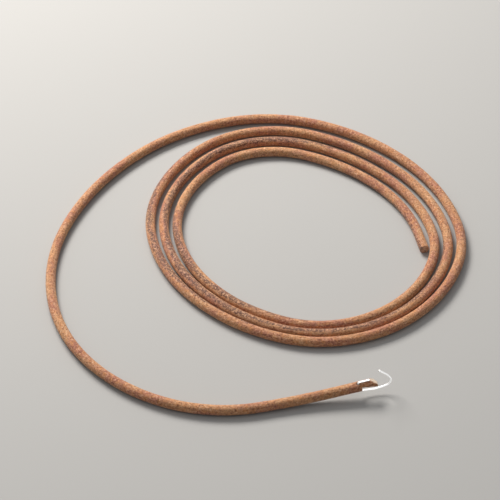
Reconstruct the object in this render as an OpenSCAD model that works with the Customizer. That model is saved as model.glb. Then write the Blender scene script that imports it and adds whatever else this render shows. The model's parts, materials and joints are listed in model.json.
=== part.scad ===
// Round leather drive belt for a treadle sewing machine, coiled flat, with the wire hook that joins it.
// The belt is one leather cord. The hook is one bent wire that turns in a hole punched through the cord.
// The origin is under the middle of the coil, on the surface that the belt lies on.

/* [Cord] */
// Diameter of the round leather cord
cord_d = 5; // [4.6:0.1:5]

/* [Coil] */
// Length of the straight run at the plain inner end
start_l = 11; // [5:0.5:11]
// Direction in which the cord leaves its plain inner end, in degrees
start_direction = 102; // [101:1:103]
// Average bend radius at the start of the inmost turn
inner_r = 58.9; // [58:0.1:62]
// Average distance from one turn of the coil to the next
pitch = 6.8; // [6.8:0.1:8]
// Distance by which each turn lies farther towards +Y than the one inside it
drift = 1.5; // [0:0.1:1.5]
// Rise and fall of the bend radius that makes the turns oval
oval = 14.5; // [10:0.1:15]
// Direction of a straighter side of the oval, in degrees
oval_direction = 136; // [130:1:140]
// Rise and fall of the bend radius that makes the turns three-sided
three_sided = 6.9; // [3:0.1:7]
// Direction of a straighter one of the three sides, in degrees
three_direction = 23; // [20:1:30]
// Rise and fall of the bend radius that makes the turns four-sided
four_sided = 15.8; // [10:0.1:17]
// Direction of a straighter one of the four sides, in degrees
four_direction = 50; // [48:1:55]

/* [Loose end] */
// Added bend radius all along the loose end
loose_gain = 19.7; // [19:0.1:24]
// Rise and fall of the added bend radius, once in a turn
loose_lean = 5.1; // [4:0.1:6]
// Direction in which it is greatest, in degrees
lean_direction = 145; // [140:1:150]
// Rise and fall of the added bend radius, twice in a turn
loose_swell = 29.9; // [25:0.1:31]
// Direction in which it is greatest, in degrees
swell_direction = 51; // [48:1:54]

/* [Lifted end] */
// Radius of the upward bend in the loose end
lift_r = 310; // [250:10:400]
// Slope of the lifted end, in degrees
lift_angle = 6.5; // [5:0.5:9]
// Length of the straight run that carries the hook
straight_l = 21; // [18:1:40]

/* [Tongue] */
// Length of the tongue that is left where the underside is cut away
tongue_l = 7.5; // [6:0.5:8]
// Height of the cut above the cord's axis, at its step
tongue_lift = 1.1; // [0.8:0.1:1.3]
// Fall of the cut towards the end of the cord, in degrees
tongue_slope = 10; // [6:1:12]
// Length along the top over which a slanted cut thins the end of the tongue
skive_l = 2.8; // [2.4:0.1:3]
// Fall of the slanted cut towards the end of the cord, in degrees
skive_slope = 37; // [35:1:40]
// Fall of the slanted cut towards the left of the cord, in degrees
skive_lean = 22; // [15:1:25]

/* [Hook] */
// Diameter of the wire
wire_d = 0.9; // [0.8:0.05:1]
// Gap between the wire and the wall of its punched hole
hole_gap = 0.05; // [0.03:0.01:0.08]
// Distance from the step back to the axis of the punched hole
hole_back = 1.3; // [1.2:0.1:2]
// Length of the short leg that lies along the top of the cord
short_leg = 5; // [3:0.5:6]
// Length of the straight part of the long leg
long_leg = 5; // [4:0.5:7]
// Bend radius of the hook's back
back_r = 3.4; // [3:0.1:5]
// Length of the straight tip
tip_l = 4.5; // [4:0.5:8]

/* [Hidden] */
$fn = 48;

cord_r = cord_d / 2;
wire_r = wire_d / 2;
// A rod is built of stretches. Every second one is this much thinner and runs this far into its neighbours,
// so that they join cleanly.
cord_slim = 0.02;
cord_lap = 0.4;
wire_slim = 0.01;
wire_lap = 0.1;

// The cord turns to the left all the way, in equal bends: three turns side by side, and then the loose end.
bend_turn = 30;
coil_bends = 3 * 360 / bend_turn;
loose_bends = 270 / bend_turn;

// Rise and fall of the bend radius for a shape with n straighter sides, of which one runs in direction d
function sides(n, amount, d, h) = amount * cos(n * (h - d));
// Added bend radius where the loose end runs in direction h
function loose_r(h) =
  loose_gain
  + sides(1, loose_lean, lean_direction, h)
  + sides(2, loose_swell, swell_direction, h);
// Bend radius where the coil has made this many turns and runs in direction h
function coil_r(turns, h) =
  inner_r + pitch * turns
  + sides(1, drift / PI, 90, h)
  + sides(2, oval, oval_direction, h)
  + sides(3, three_sided, three_direction, h)
  + sides(4, four_sided, four_direction, h);
// Bend radius of bend i, taken at its middle
function bend_r(i) =
  let (turned = (i + 0.5) * bend_turn, h = start_direction + turned)
  coil_r(turned / 360, h) + (i < coil_bends ? 0 : loose_r(h));

// The stretches of a rod: [bend radius, angle turned to the left], or [length, 0] for a straight one
FLAT_PATH = concat(
  [[start_l, 0]],
  [for (i = [0 : coil_bends + loose_bends - 1]) [bend_r(i), bend_turn]]
);
LIFTED_PATH = [[lift_r, lift_angle], [straight_l, 0]];

// The hook runs from the end of its short leg to the crossbar, down through the cord, and out to the tip.
crossbar_bend_r = 0.7;
rest_gap = 0.05;
leg_height = cord_r + wire_r + rest_gap;
crossbar_l = 2 * (leg_height - crossbar_bend_r);
// The long leg falls away from the cord by leg_fall, then curves gently up to the back and on to the tip.
leg_fall = 10;
rise_r = 18;
rise_turn = 24;
back_turn = 93;
return_r = 10.5;
return_turn = 24;
HOOK_PATH = [
  [short_leg, 0],
  [crossbar_bend_r, 90],
  [crossbar_l, 0],
  [crossbar_bend_r, 90 - leg_fall],
  [long_leg, 0],
  [rise_r, rise_turn],
  [back_r, back_turn],
  [return_r, return_turn],
  [tip_l, 0]
];

// The mouths of the punched hole flare out to this radius, from this depth, where the wire bends into them.
mouth_r = 0.95;
mouth_depth = 0.45;
// Length by which a cutting shape stands out beyond the cord
over = 1;

function leftward(h) = [-sin(h), cos(h)];
function forward(h) = [cos(h), sin(h)];
// Direction and place at which stretch i of a path begins
function heading(path, i, h0) = i == 0 ? h0 : heading(path, i - 1, h0) + path[i - 1][1];
function place(path, i, p0, h0) =
  i == 0 ? p0 :
  place(path, i - 1, p0, h0) + stretch(path[i - 1], heading(path, i - 1, h0));
// The way from the beginning of a stretch to its end
function stretch(part, h) = part[1] == 0 ? part[0] * forward(h) : bend(part[0], h, part[1]);
// The way round an arc of radius r that begins in direction h and turns by a to the left
function bend(r, h, a) = r * (leftward(h) - leftward(h + a));

// The outline of the flat part in plan, one point for each degree of bend, gives the middle of the coil.
FLAT_POINTS = [
  for (i = [1 : len(FLAT_PATH) - 1])
    let (p = place(FLAT_PATH, i, [0, 0], start_direction), h = heading(FLAT_PATH, i, start_direction))
      for (a = [0 : bend_turn]) p + bend(FLAT_PATH[i][0], h, a)
];
xs = [for (p = FLAT_POINTS) p[0]];
ys = [for (p = FLAT_POINTS) p[1]];
coil_middle = [min(xs) + max(xs), min(ys) + max(ys)] / 2;
plain_end = -coil_middle;
flat_end = place(FLAT_PATH, len(FLAT_PATH), plain_end, start_direction);
flat_end_direction = heading(FLAT_PATH, len(FLAT_PATH), start_direction);
lifted_end = place(LIFTED_PATH, len(LIFTED_PATH), [0, 0], 0);

// A rod bent in the XY plane, from its path, its radius, and where and in which direction it starts.
// Stretches with an odd number are the thinner ones, and first is the number of this path's first stretch.
module bent_rod(path, r, slim, lap, p0, h0, first = 0) {
  for (i = [0 : len(path) - 1]) {
    size = path[i][0];
    turn = path[i][1];
    h = heading(path, i, h0);
    thin = (first + i) % 2;
    translate(place(path, i, p0, h0))
      if (turn == 0) straight_stretch(size, r - thin * slim, thin * lap, h);
      else bent_stretch(size, turn, r - thin * slim, thin * lap, h);
  }
}
module straight_stretch(length, r, lap, h) {
  rotate([0, 0, h]) translate([-lap, 0, 0]) rotate([0, 90, 0]) cylinder(h = length + 2 * lap, r = r);
}
module bent_stretch(bend_r, turn, r, lap, h) {
  extra = lap / bend_r * 180 / PI;
  translate(bend_r * leftward(h))
    rotate_extrude(angle = turn + 2 * extra, start = h - 90 - extra)
      translate([bend_r, 0]) circle(r = r);
}

// The upright plane of the lifted end: X runs along the cord as seen from above, Y is up
module in_lift_plane() {
  translate([flat_end[0], flat_end[1], cord_r])
    rotate([0, 0, flat_end_direction]) rotate([90, 0, 0]) children();
}
// The same plane turned to the slope of the cord, with its origin on the cord's axis at the very end
module in_end_plane() {
  in_lift_plane() translate(lifted_end) rotate([0, 0, lift_angle]) children();
}
// The same plane with its origin where the axes of the cord and of the punched hole cross
module in_hole_plane() {
  in_end_plane() translate([-tongue_l - hole_back, 0]) children();
}

// The hole for the hook's crossbar, along Y, open at both mouths
module punched_hole() {
  for (side = [-1, 1])
    rotate([-90 * side, 0, 0]) {
      cylinder(h = cord_d, r = wire_r + hole_gap);
      translate([0, 0, cord_r - mouth_depth])
        cylinder(h = mouth_depth + over, r1 = wire_r + hole_gap, r2 = mouth_r + over);
    }
}
// The wedge of leather that is missing under the tongue
module tongue_cut() {
  translate([-tongue_l, tongue_lift, 0]) rotate([0, 0, -tongue_slope])
    translate([0, -cord_d, -cord_d]) cube([2 * tongue_l, cord_d, 2 * cord_d]);
}
// What the slanted cut takes off the top of the tongue
module skive_cut() {
  translate([-skive_l, cord_r, 0]) rotate([-skive_lean, 0, 0]) rotate([0, 0, -skive_slope])
    translate([-cord_d, 0, -cord_d]) cube([3 * cord_d, cord_d, 2 * cord_d]);
}
module leather_cord() {
  color("peru")
    difference() {
      union() {
        translate([0, 0, cord_r])
          bent_rod(FLAT_PATH, cord_r, cord_slim, cord_lap, plain_end, start_direction);
        in_lift_plane() bent_rod(LIFTED_PATH, cord_r, cord_slim, cord_lap, [0, 0], 0, len(FLAT_PATH));
      }
      in_end_plane() tongue_cut();
      in_end_plane() skive_cut();
      in_hole_plane() punched_hole();
    }
}

module wire_hook() {
  color("silver")
    in_hole_plane()
      bent_rod(HOOK_PATH, wire_r, wire_slim, wire_lap, [short_leg + crossbar_bend_r, leg_height], 180);
}

leather_cord();
wire_hook();
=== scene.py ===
"""A round leather drive belt coiled flat, with a wire hook in its lifted end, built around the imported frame.

Lengths in this script are millimetres until a mesh is made; lights and the camera are placed in metres.
A place on a rod (the cord or the wire) is given by its station, the distance along the rod's middle line,
and by how far it is to the right of that line and above it.
"""

import json
import math

import bpy
import numpy as np
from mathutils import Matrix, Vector


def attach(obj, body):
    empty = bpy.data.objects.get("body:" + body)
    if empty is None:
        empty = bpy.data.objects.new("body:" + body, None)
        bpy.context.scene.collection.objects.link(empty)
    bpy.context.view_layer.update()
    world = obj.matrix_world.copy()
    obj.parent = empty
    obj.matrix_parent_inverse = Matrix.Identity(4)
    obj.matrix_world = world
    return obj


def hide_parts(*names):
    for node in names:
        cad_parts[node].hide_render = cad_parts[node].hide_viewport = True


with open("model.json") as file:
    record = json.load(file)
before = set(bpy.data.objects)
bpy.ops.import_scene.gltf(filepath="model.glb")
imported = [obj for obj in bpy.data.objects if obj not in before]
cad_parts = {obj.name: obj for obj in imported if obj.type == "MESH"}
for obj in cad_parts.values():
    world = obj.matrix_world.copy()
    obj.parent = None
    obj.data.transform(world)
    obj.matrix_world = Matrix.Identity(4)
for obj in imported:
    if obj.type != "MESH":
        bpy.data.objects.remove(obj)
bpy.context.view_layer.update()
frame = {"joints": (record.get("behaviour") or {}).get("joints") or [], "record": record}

MM = 0.001

# ---------------------------------------------------------------- what the frame says
MOUNTS = {mount["name"]: mount for mount in frame["record"]["mounts"]}
JOINT = frame["joints"][0]
PLAIN_END = np.array(MOUNTS["plain_end"]["pos_m"]) / MM
OUTWARD = np.array(MOUNTS["plain_end"]["axis"])
CORD_R = MOUNTS["plain_end"]["dims"]["r_mm"]
WIRE_R = MOUNTS["hook_tip"]["dims"]["r_mm"]
HOLE = np.array(JOINT["pos_m"]) / MM
HOLE_AXIS = np.array(JOINT["axis"])

# ---------------------------------------------------------------- the cord's middle line
# After a short straight run it turns to the left all the way, in equal bends: three turns side by side, and
# then the loose end. Directions are in degrees. START_HEADING is that in which the cord leaves its plain end.
START_L = 11
START_HEADING = math.degrees(math.atan2(-OUTWARD[1], -OUTWARD[0]))
BEND_TURN = 30
COIL_BENDS = 3 * 360 // BEND_TURN
LOOSE_BENDS = 270 // BEND_TURN
INNER_R = 58.9
PITCH = 6.8
# Rise and fall of the bend radius: number of straighter sides, amount, and direction of one of those sides
COIL_SIDES = [(1, 1.5 / math.pi, 90), (2, 14.5, 136), (3, 6.9, 23), (4, 15.8, 50)]
LOOSE_GAIN = 19.7
LOOSE_SIDES = [(1, 5.1, 145), (2, 29.9, 51)]


def rise_and_fall(sides, heading):
    return sum(amount * math.cos(math.radians(n * (heading - direction))) for n, amount, direction in sides)


def bend_radius(number):
    """Radius of one of the cord's equal bends."""
    turned = (number + 0.5) * BEND_TURN
    heading = START_HEADING + turned
    radius = INNER_R + PITCH * turned / 360 + rise_and_fall(COIL_SIDES, heading)
    if number >= COIL_BENDS:
        radius += LOOSE_GAIN + rise_and_fall(LOOSE_SIDES, heading)
    return radius


BEND_RADII = [bend_radius(number) for number in range(COIL_BENDS + LOOSE_BENDS)]
LIFT_R = 310
LIFT_ANGLE = math.radians(6.5)
STRAIGHT_L = 21
LIFT_L = LIFT_R * LIFT_ANGLE
FLAT_L = START_L + sum(BEND_RADII) * math.radians(BEND_TURN)
CORD_L = FLAT_L + LIFT_L + STRAIGHT_L

# ---------------------------------------------------------------- the cord's two ends
TONGUE_L = 7.5
TONGUE_LIFT = 1.1
TONGUE_SLOPE = math.radians(10)
# Share of its width that the tongue loses towards its end, and thickness of its thin edge on the left
TONGUE_NARROWING = 0.05
THIN_EDGE = 0.12
# The slanted cut that thins the very end: how far back it starts on top, and its falls forwards and to the left
SKIVE_L = 2.8
SKIVE_FORWARD = math.tan(math.radians(37)) / math.cos(math.radians(22))
SKIVE_LEFT = math.tan(math.radians(22))
HOLE_BACK = 1.3
STEP_AT = CORD_L - TONGUE_L
HOLE_AT = STEP_AT - HOLE_BACK
HOLE_R = 0.5
MOUTH_R = 0.66
# How far from the hole's mouths the leather is stained, and how deep and how far it is pressed in
STAIN_L = 0.55
DENT = 0.16
DENT_L = 0.4
CREASE_ANGLE = math.radians(50)

# ---------------------------------------------------------------- the cord's surface
COLUMNS = 32
RING_GAP = 0.67
MEAN_R = CORD_R - 0.045
# Amounts by which the radius varies: thicker and thinner stretches, flatter sides, nap, and the flat grain side
SWELL = 0.03
FLAT_SIDES = 0.021
NAP = 0.022
GRAIN_FLATTER = 0.03
# Unevenness of the two cuts that shape the tongue
FLOOR_ROUGHNESS = 0.05
SKIVE_ROUGHNESS = 0.04
# How often the hide's grain side has wound round the cord at some stations. It faces up at whole turns.
GRAIN_AT = [-60, 250, 505, 580, 660, 760, 1085, 1260, 1500, 1840]
GRAIN_TURNS = [0, 1, 2, 2.1, 1.98, 2.07, 3, 3.45, 3.6, 3.5]
GRAIN_HALF_WIDTH = math.radians(42)
GRAIN_EDGE = 7
# A patch of fine cracks across the cord, on the outside of its bend
CRACKS_AT = 1478
CRACKS_L = 9
CRACK_GAP = 1.35
CRACK_DEPTH = 0.05


def leftward(heading):
    return np.stack([-np.sin(heading), np.cos(heading)], axis=-1)


def rod_noise(points, seed):
    """Smooth noise between -1 and 1, with one lattice cell for each unit of length."""
    cell = np.floor(points).astype(np.int64)
    part = points - cell
    fade = part ** 3 * (part * (part * 6 - 15) + 10)
    total = np.zeros(points.shape[:-1])
    for corner in np.ndindex(2, 2, 2):
        x, y, z = np.moveaxis(cell + np.array(corner), -1, 0)
        mix = (x * 73856093) ^ (y * 19349663) ^ (z * 83492791) ^ (seed * 2654435761)
        mix = ((mix ^ (mix >> 13)) * 1274126177) & 0xFFFFFFFF
        value = ((mix ^ (mix >> 16)) & 0xFFFF) / 32767.5 - 1
        total += value * np.prod(np.where(corner, fade, 1 - fade), axis=-1)
    return total


def cord_frames(station):
    """Centre, forward, right and up vectors of the cord at each station."""
    station = np.asarray(station, float)
    angle = math.radians(START_HEADING)
    turn = math.radians(BEND_TURN)
    first_way = np.array([math.cos(angle), math.sin(angle)])
    centre = np.zeros(station.shape + (3,))
    centre[..., :2] = PLAIN_END[:2] + station[..., None] * first_way
    heading = np.full(station.shape, angle)
    begin = START_L
    point = PLAIN_END[:2] + START_L * first_way
    for r in BEND_RADII:
        inside = station >= begin
        now = angle + (station[inside] - begin) / r
        centre[inside, :2] = point + r * (leftward(angle) - leftward(now))
        heading[inside] = now
        point = point + r * (leftward(angle) - leftward(angle + turn))
        angle += turn
        begin += r * turn
    lifted = station > FLAT_L
    heading[lifted] = angle
    rise = np.clip((station - FLAT_L) / LIFT_R, 0, LIFT_ANGLE)
    straight = np.maximum(station - FLAT_L - LIFT_L, 0)
    ahead = LIFT_R * np.sin(rise) + straight * math.cos(LIFT_ANGLE)
    level = np.stack([np.cos(heading), np.sin(heading), np.zeros_like(heading)], axis=-1)
    centre[lifted, :2] = point + ahead[lifted, None] * level[lifted, :2]
    centre[..., 2] = PLAIN_END[2] + LIFT_R * (1 - np.cos(rise)) + straight * math.sin(LIFT_ANGLE)
    vertical = np.array([0.0, 0.0, 1.0])
    forward = np.cos(rise)[..., None] * level + np.sin(rise)[..., None] * vertical
    up = np.cos(rise)[..., None] * vertical - np.sin(rise)[..., None] * level
    right = np.cross(forward, up)
    return centre, forward, right, up


def in_space(station, right, up):
    """Points of the row frame from places on the cord."""
    centre, _, right_way, up_way = cord_frames(station)
    return centre + right[..., None] * right_way + up[..., None] * up_way


def on_round_cord(station, angle):
    """Place on an even cord of the mean radius, from which the noise of the real one is taken."""
    return np.stack([station, MEAN_R * np.cos(angle), MEAN_R * np.sin(angle)], axis=-1)


def grain_angle(station):
    """Angle round the cord, from its right side over the top, of the middle of the grain side."""
    return math.pi / 2 + 2 * math.pi * np.interp(station, GRAIN_AT, GRAIN_TURNS)


def grain_share(station, angle):
    """1 in the middle of the grain side and 0 off it, with a ragged edge."""
    away = np.abs((angle - grain_angle(station) + math.pi) % (2 * math.pi) - math.pi)
    around = on_round_cord(station, angle)
    coarse = rod_noise(around * [1 / 17, 0.15, 0.15], 14)
    close = rod_noise(around * [1 / 4, 0.5, 0.5], 15)
    width = GRAIN_HALF_WIDTH * np.clip(1 + 0.55 * coarse + 0.4 * close, 0.3, 2)
    return 1 / (1 + np.exp((away / width - 1) * GRAIN_EDGE))


def cord_radius(station, angle):
    """Radius of the leather: cut round by hand, so a little uneven, flatter on the grain side, with a nap."""
    around = on_round_cord(station, angle)
    swell = rod_noise(around * [1 / 23, 0.02, 0.02], 1) + 0.5 * rod_noise(around * [1 / 8, 0.1, 0.1], 2)
    lean = 2.5 * rod_noise(around * [1 / 60, 0, 0], 3)
    sides = np.cos(2 * angle + lean) + 0.6 * np.cos(3 * angle - 1.7 * lean)
    streaks = rod_noise(around * [1 / 9, 0.8, 0.8], 4)
    lumps = rod_noise(around * [1 / 2.2, 0.5, 0.5], 5)
    grit = rod_noise(around * [1 / 0.9, 1.1, 1.1], 6)
    grain = grain_share(station, angle)
    cracks = np.exp(-((station - CRACKS_AT) / CRACKS_L) ** 2)
    cracks = cracks * np.cos(2 * math.pi * station / CRACK_GAP + lean)
    outer = np.clip(np.cos(angle), 0, 1)
    return (
        MEAN_R
        + SWELL * swell
        + FLAT_SIDES * sides
        + NAP * (streaks + lumps * 1.1 + grit * (1.2 - 0.6 * grain))
        - GRAIN_FLATTER * grain
        - CRACK_DEPTH * outer * np.clip(cracks, 0, 1)
    )


def skive_height(station, right):
    """Height of the slanted cut over the end of the tongue."""
    fall = SKIVE_FORWARD * (station - CORD_L + SKIVE_L) - SKIVE_LEFT * right
    rough = SKIVE_ROUGHNESS * rod_noise(np.stack([station * 2.2, right * 2.2, right * 0], axis=-1), 10)
    return CORD_R - fall + rough


def cord_section(station, angle, cut=1.0, shrink=1.0):
    """Right and up coordinates of the leather. cut is the share of the missing underside that is taken away at
    or beyond the step, and shrink draws the section in towards its middle to close an end."""
    radius = cord_radius(station, angle)
    right = radius * np.cos(angle)
    up = radius * np.sin(angle)
    beyond = np.clip(station - STEP_AT, 0, TONGUE_L)
    tongue = station >= STEP_AT
    floor = TONGUE_LIFT - beyond * math.tan(TONGUE_SLOPE)
    narrow = 1 - TONGUE_NARROWING * (beyond / TONGUE_L) ** 2

    # Round its bottom the tongue's section follows the floor of the cut from side to side.
    from_bottom = (angle + 1.5 * math.pi) % (2 * math.pi) - math.pi
    edge = math.pi / 2 + np.arcsin(floor / radius)
    on_floor = tongue & (np.abs(from_bottom) < edge)
    floor_right = radius * np.sin(edge) * from_bottom / edge
    rough = rod_noise(np.stack([station * 1.4, floor_right * 1.8, 0 * right], axis=-1), 7)
    rough = FLOOR_ROUGHNESS * rough
    right = np.where(on_floor, right + cut * (floor_right - right), right)
    up = np.where(on_floor, up + cut * (floor + rough - up), up)
    right = np.where(tongue, right * narrow, right)

    # Where the slanted cut meets that floor, the section begins at the line on which they meet.
    widest = narrow * np.sqrt(MEAN_R ** 2 - np.clip(floor, 0, None) ** 2)
    slant = SKIVE_FORWARD * (station - CORD_L + SKIVE_L)
    left_edge = (floor + THIN_EDGE - CORD_R + slant) / SKIVE_LEFT
    cropped = tongue & (left_edge > -widest)
    left_edge = np.where(cropped, left_edge, -widest)
    right = np.where(cropped, left_edge + (right + widest) * (widest - left_edge) / (2 * widest), right)
    round_up = np.sign(up) * np.sqrt(np.clip(radius ** 2 - (right / narrow) ** 2, 0, None))
    up = np.where(cropped & ~on_floor, round_up, up)
    trimmed = np.maximum(np.minimum(up, skive_height(station, right)), floor + rough * on_floor)
    up = np.where(tongue, trimmed, up)

    middle_right = (left_edge + widest) / 2 * tongue
    top = np.minimum(CORD_R, skive_height(station, middle_right))
    middle_up = np.where(tongue, (floor + top) / 2 * cut, 0)
    return middle_right + (right - middle_right) * shrink, middle_up + (up - middle_up) * shrink


class Shell:
    """Vertices, what the materials know about each of them, and the faces between them."""

    def __init__(self):
        self.points = []
        self.values = {"rod_space": [], "cut": [], "grain": [], "stain": []}
        self.faces = []
        self.count = 0

    def add(self, points, rod_space, cut=0.0, grain=0.0, stain=0.0):
        """Adds an array of vertices and returns the array of their numbers."""
        shape = points.shape[:-1]
        self.points.append(points.reshape(-1, 3))
        self.values["rod_space"].append(rod_space.reshape(-1, 3))
        for name, value in (("cut", cut), ("grain", grain), ("stain", stain)):
            self.values[name].append(np.broadcast_to(value, shape).reshape(-1))
        numbers = self.count + np.arange(int(np.prod(shape))).reshape(shape)
        self.count += numbers.size
        return numbers

    def grid(self, rows, skip=None):
        """Quads between neighbouring rows of a closed tube, without those for which skip is true."""
        after = np.roll(rows, -1, axis=1)
        quads = np.stack([rows[:-1], after[:-1], after[1:], rows[1:]], axis=-1)
        keep = np.ones(quads.shape[:2], bool) if skip is None else ~skip
        self.faces += quads[keep].tolist()

    def fan(self, row, tip):
        self.faces += [[int(a), int(b), int(tip)] for a, b in zip(row, np.roll(row, -1))]

    def mesh_object(self, name):
        mesh = bpy.data.meshes.new(name)
        mesh.from_pydata((np.concatenate(self.points) * MM).tolist(), [], self.faces)
        for key, parts in self.values.items():
            value = np.concatenate(parts).astype(np.float32)
            vector = value.ndim == 2
            attribute = mesh.attributes.new(key, "FLOAT_VECTOR" if vector else "FLOAT", "POINT")
            attribute.data.foreach_set("vector" if vector else "value", value.ravel())
        mesh.polygons.foreach_set("use_smooth", [True] * len(mesh.polygons))
        mesh.update()
        made = bpy.data.objects.new(name, mesh)
        bpy.context.scene.collection.objects.link(made)
        bpy.context.view_layer.objects.active = made
        made.select_set(True)
        bpy.ops.object.mode_set(mode="EDIT")
        bpy.ops.mesh.select_all(action="SELECT")
        bpy.ops.mesh.normals_make_consistent(inside=False)
        bpy.ops.object.mode_set(mode="OBJECT")
        made.select_set(False)
        mesh.set_sharp_from_angle(angle=CREASE_ANGLE)
        return made


# ---------------------------------------------------------------- the leather cord
# Half the columns, the rings and half the length of the two patches of finer faces round the hole's mouths
PATCH_COLUMNS = 3
PATCH_RINGS = 24
PATCH_HALF_L = 1.2
# How far the loops of a patch have come from its edge to the mouth
PATCH_LOOPS = [0.2, 0.4, 0.58, 0.73, 0.85, 0.94, 1.0]
# Height and radius of each loop of the hole's wall, from its upper mouth to its middle
WALL_LOOPS = [(2.22, 0.58), (2.0, 0.53), (1.4, HOLE_R), (0.7, HOLE_R)]
COLUMN_ANGLES = np.arange(COLUMNS) * 2 * math.pi / COLUMNS
TOP_COLUMN = COLUMNS // 4
BOTTOM_COLUMN = 3 * COLUMNS // 4
# Size of each ring of an end face, from its middle to its rim, and how far the rim and the middle stand out
CAP_SHRINKS = [0.14, 0.3, 0.46, 0.62, 0.77, 0.89, 0.96]
CAP_ROUND = 0.16
CAP_BULGE = 0.1
# Share of the underside that is gone at each ring of the step's face, and how far that face leans forwards
STEP_CUTS = [0.03, 0.22, 0.42, 0.62, 0.82, 1.0]
STEP_DEPTH = 0.04
# The plain end's face is hardly paler than the rest of the leather.
PLAIN_FACE_CUT = 0.48
FIBRE_R = 0.028
FIBRE_ROOT = 0.1


def even_steps(start, end, gap):
    """Evenly spaced stations from start to just short of end."""
    return np.linspace(start, end, max(2, round((end - start) / gap) + 1))[:-1]


def cord_rings():
    """Station, shrink and cut of each ring of the cord, from one end face's middle to the other's."""
    caps = np.array(CAP_SHRINKS)
    near_hole = HOLE_AT - PATCH_HALF_L
    past_hole = HOLE_AT + PATCH_HALF_L
    plain = np.concatenate([even_steps(0.05, 4, 0.22), even_steps(4, near_hole - 7, RING_GAP)])
    hooked = np.concatenate([
        even_steps(near_hole - 7, near_hole, 0.25),
        np.linspace(near_hole, past_hole, PATCH_RINGS + 1),
        [STEP_AT - 0.04],
    ])
    sides = np.concatenate([plain, hooked])
    tongue = even_steps(STEP_AT + 0.06, CORD_L - 0.2, 0.16)
    tongue = np.concatenate([tongue, [CORD_L - 0.2, CORD_L - 0.07]])
    # The rings of the step's face lie closely in a row, so that no two of their points are the same.
    step = STEP_AT + STEP_DEPTH * np.linspace(0, 1, len(STEP_CUTS))
    station = np.concatenate([np.zeros(len(caps)), sides, step, tongue, np.full(len(caps), CORD_L)])
    shrink = np.concatenate([caps, np.ones(len(sides) + len(step) + len(tongue)), caps[::-1]])
    cut = np.ones(len(station))
    first_step = len(caps) + len(sides)
    cut[first_step:first_step + len(step)] = STEP_CUTS
    # The rims of the two end faces are rounded over.
    shrink[len(caps)] = 0.985
    shrink[-len(caps) - 1] = 0.975
    return station, shrink, cut


def add_leather(shell, station, right, up, cut, grain):
    from_mouth = np.clip(np.hypot(station - HOLE_AT, right) - MOUTH_R, 0, None)
    stain = np.exp(-(from_mouth / STAIN_L) ** 2)
    # The leather is pressed in round the mouths of the hole.
    dent = DENT * np.exp(-(from_mouth / DENT_L) ** 2) * (station < STEP_AT)
    up = up - np.sign(up) * dent
    place = np.stack([station, right, up], axis=-1)
    points = in_space(station, right, up)
    # The cord lies on the floor and is pressed flat by it.
    points[..., 2] = np.maximum(points[..., 2], 0.0)
    return shell.add(points, place, cut, grain, stain)


def punch_hole(shell, rows, first_ring):
    """Joins the top and the bottom of the cord with a round hole, through a patch of finer faces on each."""
    last_ring = first_ring + PATCH_RINGS
    loops = []
    for side, middle in ((1, TOP_COLUMN), (-1, BOTTOM_COLUMN)):
        columns = middle + side * np.arange(PATCH_COLUMNS, -PATCH_COLUMNS - 1, -1)
        rings = np.arange(first_ring, last_ring + 1)
        edge = np.concatenate([
            rows[first_ring, columns[:-1]],
            rows[rings[:-1], columns[-1]],
            rows[last_ring, columns[:0:-1]],
            rows[rings[:0:-1], columns[0]],
        ])
        place = np.concatenate(shell.values["rod_space"])[edge]
        across = place[:, 1]
        along = place[:, 0] - HOLE_AT
        turn = np.arctan2(across, along)
        patch = [edge]
        for t in PATCH_LOOPS:
            u = along + t * (MOUTH_R * np.cos(turn) - along)
            v = across + t * (MOUTH_R * np.sin(turn) - across)
            angle = side * np.arccos(np.clip(v / MEAN_R, -1, 1))
            right, up = cord_section(HOLE_AT + u, angle)
            grain = grain_share(HOLE_AT + u, angle) * (1 - t)
            patch.append(add_leather(shell, HOLE_AT + u, right, up, 0.15 * t, grain))
        shell.grid(np.array(patch))
        loops.append((patch[-1], turn))
    # The wall of the hole, from the upper mouth down to the lower one
    turn = loops[0][1]
    wall = [loops[0][0]]
    lower_half = [(-up, r) for up, r in reversed(WALL_LOOPS)]
    for up, r in WALL_LOOPS + [(0, HOLE_R)] + lower_half:
        station = HOLE_AT + r * np.cos(turn)
        right = r * np.sin(turn)
        height = np.full_like(turn, up)
        place = np.stack([station, right, height], axis=-1)
        wall.append(shell.add(in_space(station, right, height), place, 0.8, 0.0, 1.0))
    wall.append(loops[1][0])
    shell.grid(np.array(wall))


def add_fibres(shell, roots, ways, seed, length):
    """Fine loose fibres of leather, each a closed three-sided taper that is rooted in the leather."""
    rng = np.random.default_rng(seed)
    for root, way in zip(roots, ways):
        size = length * rng.uniform(0.45, 1.0)
        bend = rng.normal(0, 0.35, 3)
        side = np.cross(way, rng.normal(0, 1, 3))
        side = side / np.linalg.norm(side)
        other = np.cross(way, side)
        rows = []
        for t in (0.0, 0.35, 0.7):
            middle = root + way * (size * t - FIBRE_ROOT) + bend * size * t * t
            ring = [middle + FIBRE_R * (1 - 0.8 * t) * (math.cos(a) * side + math.sin(a) * other)
                    for a in (0, 2 * math.pi / 3, 4 * math.pi / 3)]
            ring = np.array(ring)
            rows.append(shell.add(ring, ring, 1.0, 0.0, 0.0))
        tip = root + way * (size - FIBRE_ROOT) + bend * size
        end = shell.add(tip[None], tip[None], 1.0)
        shell.grid(np.array(rows))
        shell.fan(rows[-1], end[0])
        shell.faces.append([int(n) for n in rows[0]])


# Tufts on the cut faces: station, way in which they point, number of fibres, lowest and highest root, how far
# to the left the roots go (as a share of the half width), and greatest length
TUFTS = [
    (0.0, -1, 26, -2.2, 2.2, -1, 0.55),
    (STEP_AT, 1, 30, -2.3, 0.6, -1, 0.7),
    (STEP_AT, 1, 24, -2.35, -1.8, -1, 1.6),
    (CORD_L, 1, 26, -0.12, 0.2, 0.05, 0.5),
]


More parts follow.
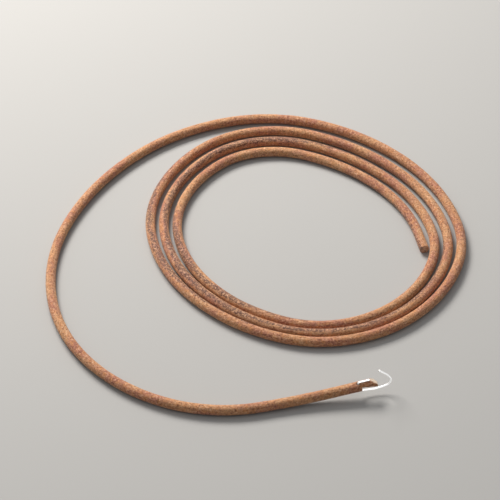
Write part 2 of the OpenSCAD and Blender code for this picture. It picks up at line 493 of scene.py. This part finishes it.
def end_fibres(shell):
    """The fibres that stand out of the plain end, the step, and the end of the tongue."""
    rng = np.random.default_rng(11)
    for station, forwards, count, low, high, leftmost, length in TUFTS:
        up = rng.uniform(low, high, count)
        reach = np.sqrt(np.maximum((CORD_R - 0.35) ** 2 - up ** 2, 0.0))
        right = rng.uniform(leftmost, 1, count) * reach
        place = np.full(count, station)
        roots = in_space(place, right, up)
        _, forward, right_way, up_way = cord_frames(place)
        lean = rng.normal(0, 0.45, (count, 2))
        ways = forwards * forward + lean[:, :1] * right_way + lean[:, 1:] * up_way
        ways = ways / np.linalg.norm(ways, axis=1)[:, None]
        add_fibres(shell, roots, ways, 12 + count, length)


RIM_FIBRES = 34
RIM_TUFT_L = 2.4
RIM_FIBRE_L = 0.85


def rim_fibres(shell):
    """A tuft of fibres at the lower rim of the step, on its right."""
    rng = np.random.default_rng(12)
    angle = rng.uniform(-1.15, -0.5, RIM_FIBRES)
    place = STEP_AT - rng.uniform(0, RIM_TUFT_L, RIM_FIBRES)
    right = (MEAN_R - 0.05) * np.cos(angle)
    up = (MEAN_R - 0.05) * np.sin(angle)
    roots = in_space(place, right, up)
    _, forward, right_way, up_way = cord_frames(place)
    lean = rng.normal(0, 0.35, (RIM_FIBRES, 2))
    ways = (0.5 + lean[:, :1]) * forward + np.cos(angle)[:, None] * right_way
    ways = ways + (0.35 * np.sin(angle) + lean[:, 1])[:, None] * up_way
    ways = ways / np.linalg.norm(ways, axis=1)[:, None]
    add_fibres(shell, roots, ways, 13, RIM_FIBRE_L)


def make_cord():
    shell = Shell()
    station, shrink, cut = cord_rings()
    angle = np.broadcast_to(COLUMN_ANGLES, (len(station), COLUMNS))
    at = np.broadcast_to(station[:, None], angle.shape)
    right, up = cord_section(at, angle, cut[:, None], shrink[:, None])
    caps = len(CAP_SHRINKS)
    torn = rod_noise(np.stack([at, right * 1.7, up * 1.7], axis=-1), 8)
    torn = torn + 0.6 * rod_noise(np.stack([at, right * 4, up * 4], axis=-1), 9)
    on_face = np.zeros(len(station))
    on_face[:caps] = 1
    on_face[-caps:] = 1
    on_step = (cut > 0.1) & (cut < 1)
    outwards = np.zeros(len(station))
    outwards[:caps] = -1
    outwards[-caps:] = 1
    rim = np.where(on_face > 0, CAP_ROUND * np.clip((shrink - 0.8) / 0.2, 0, 1) ** 2, 0)
    raggedness = 0.07 * on_face * outwards + 0.1 * on_step
    moved = at + (outwards * (CAP_BULGE * on_face - rim))[:, None] + raggedness[:, None] * torn
    step_top = np.abs(station - STEP_AT - STEP_DEPTH) < 0.001
    cut_face = np.where((on_face > 0) | on_step | step_top, 1.0, 0.0)[:, None]
    cut_face[:caps] = PLAIN_FACE_CUT
    floor = TONGUE_LIFT - np.clip(at - STEP_AT, 0, None) * math.tan(TONGUE_SLOPE)
    under = (at > STEP_AT) & (up < floor + 0.12)
    skived = (at > STEP_AT) & (up > skive_height(at, right) - 0.06)
    cut_share = np.maximum(np.broadcast_to(cut_face, at.shape), under | skived)
    rows = add_leather(shell, moved, right, up, cut_share, grain_share(at, angle))
    rings = np.arange(len(station))
    first_patch = int(np.argmin(np.abs(station - (HOLE_AT - PATCH_HALF_L))))
    in_patch = (rings >= first_patch) & (rings < first_patch + PATCH_RINGS)
    columns = np.arange(COLUMNS)
    top = (columns >= TOP_COLUMN - PATCH_COLUMNS) & (columns < TOP_COLUMN + PATCH_COLUMNS)
    bottom = (columns >= BOTTOM_COLUMN - PATCH_COLUMNS) & (columns < BOTTOM_COLUMN + PATCH_COLUMNS)
    skip = in_patch[:-1, None] & (top | bottom)[None, :]
    shell.grid(rows, skip)
    punch_hole(shell, rows, first_patch)
    for ring, end in ((0, -CAP_BULGE), (-1, CORD_L + CAP_BULGE)):
        place = np.array([[end, right[ring].mean(), up[ring].mean()]])
        tip = shell.add(in_space(place[:, 0], place[:, 1], place[:, 2]), place, 1.0)
        shell.fan(rows[ring], tip[0])
    end_fibres(shell)
    rim_fibres(shell)
    return shell.mesh_object("leather_belt_cord")


# ---------------------------------------------------------------- the wire hook
SHORT_LEG = 5
CROSSBAR_BEND_R = 0.7
REST_GAP = 0.05
LEG_HEIGHT = CORD_R + WIRE_R + REST_GAP
LEG_FALL = 10
TIP_L = MOUNTS["hook_tip"]["dims"]["length_mm"]
# Stretches of the wire from the end of its short leg: [length, 0] or [bend radius, degrees turned to the left]
HOOK_PATH = [
    (SHORT_LEG, 0),
    (CROSSBAR_BEND_R, 90),
    (2 * (LEG_HEIGHT - CROSSBAR_BEND_R), 0),
    (CROSSBAR_BEND_R, 90 - LEG_FALL),
    (5, 0),
    (18, 24),
    (3.4, 93),
    (10.5, 24),
    (TIP_L, 0),
]
WIRE_COLUMNS = 24
WIRE_GAP = 0.11
WIRE_CAP_SHRINKS = [0.25, 0.5, 0.75, 0.92]
# Lengths over which a cut end's rim is rounded and its wedge is pinched, and how far the wedge stands out
WIRE_RIM_L = 0.16
WEDGE_L = 0.3
WEDGE = 0.55
# How far the wire may be smaller and uneven, and where on it the leather's stain is
WIRE_SMALLER = 0.004
WIRE_UNEVEN = 0.006
STAIN_AT = SHORT_LEG + 3.4
STAIN_HALF_L = 2.2


def way_along(heading, now, size, length):
    """The way from the start of a stretch of wire to where its heading is now: an arc of radius size if the
    heading has changed, and otherwise straight on for the length."""
    if now == heading:
        return length * np.array([math.cos(heading), math.sin(heading)])
    return size * (leftward(np.array(heading)) - leftward(np.array(now)))


def hook_line():
    """Points and headings along the wire, in the upright plane through the hole: along the cord, and up."""
    points = []
    headings = []
    point = np.array([SHORT_LEG + CROSSBAR_BEND_R, LEG_HEIGHT])
    heading = math.pi
    for size, turn in HOOK_PATH:
        turn = math.radians(turn)
        length = size * turn if turn else size
        for t in even_steps(0, length, WIRE_GAP):
            now = heading + (t / size if turn else 0)
            points.append(point + way_along(heading, now, size, t))
            headings.append(now)
        point = point + way_along(heading, heading + turn, size, length)
        heading += turn
    points.append(point)
    headings.append(heading)
    return np.array(points), np.array(headings)


def make_hook():
    shell = Shell()
    points, headings = hook_line()
    caps = np.array(WIRE_CAP_SHRINKS)
    last = len(points) - 1
    order = np.concatenate([np.zeros(len(caps), int), np.arange(last + 1), np.full(len(caps), last)])
    shrink = np.concatenate([caps, np.ones(len(points)), caps[::-1]])
    station = np.concatenate([[0], np.cumsum(np.hypot(*np.diff(points, axis=0).T))])
    length = station[-1]
    points, headings, station = points[order], headings[order], station[order]
    # The rims of the cut ends are slightly rounded.
    from_end = np.minimum(station, length - station)
    rim = 1 - 0.1 * np.clip(1 - from_end / WIRE_RIM_L, 0, 1) ** 2
    angle = np.arange(WIRE_COLUMNS) * 2 * math.pi / WIRE_COLUMNS
    around = np.stack(np.broadcast_arrays(station[:, None] / 3.1, np.cos(angle), np.sin(angle)), axis=-1)
    radius = WIRE_R - WIRE_SMALLER + WIRE_UNEVEN * rod_noise(around, 21)
    radius = radius * rim[:, None] * shrink[:, None]
    side = radius * np.cos(angle)
    out = radius * np.sin(angle)
    # Pliers cut the ends to a blunt wedge.
    wedge = np.clip(1 - from_end / WEDGE_L, 0, 1)[:, None] * np.abs(out) * WEDGE
    inwards = np.where(station < length / 2, 1, -1)[:, None]
    forward = np.stack([np.cos(headings), np.sin(headings)], axis=-1)
    left = leftward(headings)
    flat = points[:, None] + out[..., None] * left[:, None] + (wedge * inwards)[..., None] * forward[:, None]
    _, along, right, up = cord_frames(np.array([HOLE_AT]))
    space = HOLE + flat[..., :1] * along[0] + flat[..., 1:] * up[0] + side[..., None] * right[0]
    place = np.stack([np.broadcast_to(station[:, None], side.shape), side, out], axis=-1)
    on_face = np.zeros(len(station))
    on_face[:len(caps)] = 1
    on_face[-len(caps):] = 1
    near = np.exp(-(np.abs(station - STAIN_AT) / STAIN_HALF_L) ** 4)
    rows = shell.add(space, place, on_face[:, None], 0.0, near[:, None])
    shell.grid(rows)
    for ring in (0, -1):
        middle = HOLE + points[ring, 0] * along[0] + points[ring, 1] * up[0]
        tip = shell.add(middle[None], place[ring, :1] * [1, 0, 0], 1.0)
        shell.fan(rows[ring], tip[0])
    return shell.mesh_object("steel_wire_hook")


# ---------------------------------------------------------------- materials
class Nodes:
    """Short names for building a node tree."""

    def __init__(self, name):
        self.material = bpy.data.materials.new(name)
        self.material.use_nodes = True
        self.tree = self.material.node_tree
        self.surface = self.tree.nodes["Principled BSDF"]

    def new(self, kind, **settings):
        node = self.tree.nodes.new("ShaderNode" + kind)
        for key, value in settings.items():
            setattr(node, key, value)
        return node

    def put(self, value, socket):
        if isinstance(value, bpy.types.NodeSocket):
            self.tree.links.new(value, socket)
        else:
            socket.default_value = value

    def attribute(self, name):
        node = self.new("Attribute", attribute_name=name)
        return node.outputs["Vector" if name == "rod_space" else "Fac"]

    def scaled(self, vector, scale):
        node = self.new("VectorMath", operation="MULTIPLY")
        self.put(vector, node.inputs[0])
        node.inputs[1].default_value = scale
        return node.outputs[0]

    def noise(self, vector, scale, detail=3.0, roughness=0.55, distortion=0.0):
        node = self.new("TexNoise")
        self.put(vector, node.inputs["Vector"])
        node.inputs["Scale"].default_value = scale
        node.inputs["Detail"].default_value = detail
        node.inputs["Roughness"].default_value = roughness
        node.inputs["Distortion"].default_value = distortion
        return node.outputs["Fac"]

    def cells(self, vector, scale):
        node = self.new("TexVoronoi")
        self.put(vector, node.inputs["Vector"])
        node.inputs["Scale"].default_value = scale
        return node.outputs["Distance"]

    def ramp(self, value, low, high, start=0.0, end=1.0):
        node = self.new("MapRange", interpolation_type="SMOOTHSTEP")
        ends = {"Value": value, "From Min": low, "From Max": high, "To Min": start, "To Max": end}
        for key, item in ends.items():
            self.put(item, node.inputs[key])
        return node.outputs["Result"]

    def sum(self, a, b):
        node = self.new("Math", operation="ADD")
        self.put(a, node.inputs[0])
        self.put(b, node.inputs[1])
        return node.outputs[0]

    def mix(self, share, a, b):
        node = self.new("Mix", data_type="RGBA")
        self.put(share, node.inputs["Factor"])
        self.put(a, node.inputs["A"])
        self.put(b, node.inputs["B"])
        return node.outputs["Result"]

    def bump(self, height, distance, below=None):
        """Relief as high as distance, in metres, on top of the relief below it."""
        node = self.new("Bump")
        node.inputs["Strength"].default_value = 1.0
        node.inputs["Distance"].default_value = distance
        self.put(height, node.inputs["Height"])
        if below is not None:
            self.put(below, node.inputs["Normal"])
        return node.outputs["Normal"]


def shade(hex_colour):
    """Linear colour from its usual hexadecimal form."""
    parts = [int(hex_colour[i:i + 2], 16) / 255 for i in (0, 2, 4)]
    return [c / 12.92 if c <= 0.04045 else ((c + 0.055) / 1.055) ** 2.4 for c in parts] + [1.0]


def leather_material():
    n = Nodes("raw_tan_leather")
    place = n.attribute("rod_space")
    grain = n.attribute("grain")
    cut = n.attribute("cut")
    stain = n.attribute("stain")

    # Colour: soft patches, then mottling, streaks along the cord, and dark specks in the pores
    patches = n.noise(n.scaled(place, (0.5, 1.0, 1.0)), 0.12, 2)
    blotches = n.noise(place, 0.45, 3, 0.6)
    mottle = n.noise(place, 0.95, 4, 0.7, 0.4)
    flecks = n.noise(n.scaled(place, (0.8, 1.2, 1.2)), 2.1, 3, 0.7)
    streaks = n.noise(n.scaled(place, (0.09, 1.0, 1.0)), 1.5, 3, 0.6)
    fine = n.noise(place, 6.5, 3, 0.6)
    colour = n.mix(n.ramp(patches, 0.35, 0.65), shade("c99468"), shade("b3745c"))
    colour = n.mix(n.ramp(blotches, 0.45, 0.68, 0, 0.8), colour, shade("cf8b55"))
    colour = n.mix(n.ramp(mottle, 0.5, 0.64, 0, 0.78), colour, shade("74422c"))
    colour = n.mix(n.ramp(mottle, 0.47, 0.34, 0, 0.7), colour, shade("e6bd9a"))
    colour = n.mix(n.ramp(flecks, 0.53, 0.64, 0, 0.5), colour, shade("5f3524"))
    colour = n.mix(n.ramp(flecks, 0.45, 0.34, 0, 0.3), colour, shade("ecc39c"))
    colour = n.mix(n.ramp(streaks, 0.52, 0.75, 0, 0.45), colour, shade("855438"))
    colour = n.mix(n.ramp(fine, 0.55, 0.75, 0, 0.3), colour, shade("6f422c"))

    # The grain side: darker and purplish specks, packed close in the middle and thinning out towards its edges
    pores = n.cells(place, 1.25)
    speck = n.sum(n.ramp(pores, 0.2, 0.55, 0.4, -0.25), n.ramp(flecks, 0.35, 0.65, -0.3, 0.3))
    speck = n.sum(speck, n.ramp(mottle, 0.35, 0.65, -0.45, 0.45))
    speck = n.sum(speck, n.ramp(grain, 0.0, 1.0, -0.9, 0.4))
    speckle = n.mix(n.ramp(fine, 0.4, 0.6), shade("3a2018"), shade("684434"))
    colour = n.mix(n.ramp(grain, 0.2, 1.0, 0, 0.25), colour, shade("8c5a49"))
    colour = n.mix(n.ramp(speck, 0.0, 0.35, 0, 0.8), colour, speckle)

    # Cut faces: pale dry fibre; the hole: stained by the wire
    fibre = n.noise(place, 3.2, 4, 0.7)
    pale = n.mix(n.ramp(fibre, 0.35, 0.65), shade("b39a82"), shade("efe2cf"))
    colour = n.mix(n.ramp(cut, 0.3, 0.8, 0, 0.92), colour, pale)
    colour = n.mix(n.ramp(stain, 0.25, 0.95, 0, 0.72), colour, shade("3b2318"))
    n.put(colour, n.surface.inputs["Base Color"])

    rough = n.ramp(grain, 0, 1, 0.78, 0.56)
    n.put(n.sum(rough, n.ramp(fine, 0.3, 0.7, -0.07, 0.07)), n.surface.inputs["Roughness"])
    n.surface.inputs["Specular IOR Level"].default_value = 0.35
    n.surface.inputs["Sheen Weight"].default_value = 0.35
    n.surface.inputs["Sheen Roughness"].default_value = 0.45
    n.surface.inputs["Sheen Tint"].default_value = shade("d8c2ac")

    # Relief: lumps, pores, nap and faint creases across the cord
    creases = n.noise(n.scaled(place, (1.0, 0.16, 0.16)), 1.3, 3, 0.6)
    deep = n.sum(n.ramp(mottle, 0.3, 0.7), n.ramp(creases, 0.55, 0.7, 0, -0.5))
    normal = n.bump(deep, 0.00014)
    normal = n.bump(n.ramp(pores, 0.1, 0.45), 0.00006, below=normal)
    normal = n.bump(fine, 0.00008, below=normal)
    normal = n.bump(n.noise(place, 19, 2), 0.00003, below=normal)
    n.put(normal, n.surface.inputs["Normal"])
    return n.material


def wire_material():
    n = Nodes("bright_drawn_steel")
    place = n.attribute("rod_space")
    cut = n.attribute("cut")
    stain = n.attribute("stain")
    lines = n.noise(n.scaled(place, (0.05, 1.0, 1.0)), 22, 4, 0.7)
    scuffs = n.noise(n.scaled(place, (0.6, 1.0, 1.0)), 3.0, 4, 0.65)
    cloud = n.noise(place, 0.5, 2)
    colour = n.mix(n.ramp(lines, 0.4, 0.65), shade("ffffff"), shade("deddda"))
    colour = n.mix(n.ramp(scuffs, 0.54, 0.7, 0, 0.55), colour, shade("a9a6a1"))
    colour = n.mix(n.ramp(stain, 0.4, 1, 0, 0.35), colour, shade("8d7864"))
    colour = n.mix(n.ramp(cut, 0.4, 0.9, 0, 0.85), colour, shade("8c8a86"))
    n.put(colour, n.surface.inputs["Base Color"])
    n.surface.inputs["Metallic"].default_value = 0.35
    rough = n.sum(n.ramp(scuffs, 0.4, 0.75, 0.33, 0.48), n.ramp(cloud, 0.35, 0.65, -0.03, 0.05))
    n.put(rough, n.surface.inputs["Roughness"])
    n.surface.inputs["Anisotropic"].default_value = 0.3
    normal = n.bump(lines, 0.000012)
    n.put(n.bump(scuffs, 0.00002, below=normal), n.surface.inputs["Normal"])
    return n.material


def floor_material():
    n = Nodes("pale_floor")
    n.surface.inputs["Base Color"].default_value = shade("aeaca9")
    n.surface.inputs["Roughness"].default_value = 0.9
    return n.material


# ---------------------------------------------------------------- stage
FLOOR_HALF = 3.0


def add_floor():
    mesh = bpy.data.meshes.new("floor")
    corners = [(x * FLOOR_HALF, y * FLOOR_HALF, 0) for x, y in ((-1, -1), (1, -1), (1, 1), (-1, 1))]
    mesh.from_pydata(corners, [], [(0, 1, 2, 3)])
    floor = bpy.data.objects.new("floor", mesh)
    bpy.context.scene.collection.objects.link(floor)
    floor.data.materials.append(floor_material())


def add_light(name, place, target, size, power, colour):
    """A rectangular light at a place, turned towards a target."""
    data = bpy.data.lights.new(name, "AREA")
    data.shape = "RECTANGLE"
    data.size, data.size_y = size
    data.energy = power
    data.color = colour
    light = bpy.data.objects.new(name, data)
    light.location = place
    light.rotation_euler = (Vector(target) - Vector(place)).to_track_quat("-Z", "Y").to_euler()
    bpy.context.scene.collection.objects.link(light)
    return light


def light_only(light, lit):
    """Lets a light shine on one object only."""
    receivers = bpy.data.collections.new(light.name + "_lights")
    receivers.objects.link(lit)
    light.light_linking.receiver_collection = receivers


def add_world(dim, bright, towards):
    """A soft dome of light, bright towards one side of the sky and dim opposite it."""
    world = bpy.data.worlds.new("studio")
    world.use_nodes = True
    tree = world.node_tree
    background = tree.nodes["Background"]
    background.inputs["Color"].default_value = (0.96, 0.98, 1.0, 1.0)
    sky = tree.nodes.new("ShaderNodeTexCoord")
    facing = tree.nodes.new("ShaderNodeVectorMath")
    facing.operation = "DOT_PRODUCT"
    facing.inputs[1].default_value = Vector(towards).normalized()
    ramp = tree.nodes.new("ShaderNodeMapRange")
    ramp.interpolation_type = "SMOOTHSTEP"
    ramp.inputs["From Min"].default_value = -0.2
    ramp.inputs["From Max"].default_value = 1.0
    ramp.inputs["To Min"].default_value = dim
    ramp.inputs["To Max"].default_value = bright
    tree.links.new(sky.outputs["Generated"], facing.inputs[0])
    tree.links.new(facing.outputs["Value"], ramp.inputs["Value"])
    tree.links.new(ramp.outputs["Result"], background.inputs["Strength"])
    bpy.context.scene.world = world


CAMERA_AIM = (-0.0039, 0.0053, 0.0)
CAMERA_DISTANCE = 1.005
CAMERA_ELEVATION = math.radians(45)


def add_camera():
    """The camera looks down along +Y, from far enough away that the perspective is slight."""
    data = bpy.data.cameras.new("camera")
    data.lens = 144
    data.sensor_width = 36
    camera = bpy.data.objects.new("camera", data)
    away = Vector((0, -math.cos(CAMERA_ELEVATION), math.sin(CAMERA_ELEVATION)))
    camera.location = Vector(CAMERA_AIM) + CAMERA_DISTANCE * away
    camera.rotation_euler = (math.pi / 2 - CAMERA_ELEVATION, 0, 0)
    bpy.context.scene.collection.objects.link(camera)
    bpy.context.scene.camera = camera


def check_cord_line():
    """The middle line used here has to lead to the CAD model's hole and to stand square to its axis."""
    centre, _, _, up = cord_frames(np.array([HOLE_AT]))
    if np.linalg.norm(centre[0] - HOLE) > 0.05 or up[0] @ HOLE_AXIS < 0.9999:
        raise ValueError(f"the cord's middle line misses the punched hole: {centre[0]} is not {HOLE}")


check_cord_line()

cord = make_cord()
cord.data.materials.append(leather_material())
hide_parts("leather_cord")
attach(cord, "belt")

hook = make_hook()
hook.data.materials.append(wire_material())
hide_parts("wire_hook")
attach(hook, "hook")

add_floor()
add_world(dim=0.22, bright=0.6, towards=(-0.4, 0.65, 0.75))
# The key light comes from behind on the left. The card lights up the front of the bright wire.
add_light("key", (-0.36, 0.62, 0.66), (0, 0.02, 0), (0.55, 0.35), 14, (1.0, 0.975, 0.94))
card = add_light("card", (0.3, -0.5, 0.34), (0.055, -0.09, 0.01), (0.3, 0.3), 3.6, (1.0, 1.0, 1.0))
light_only(card, hook)
add_camera()
bpy.context.scene.view_settings.view_transform = "Standard"
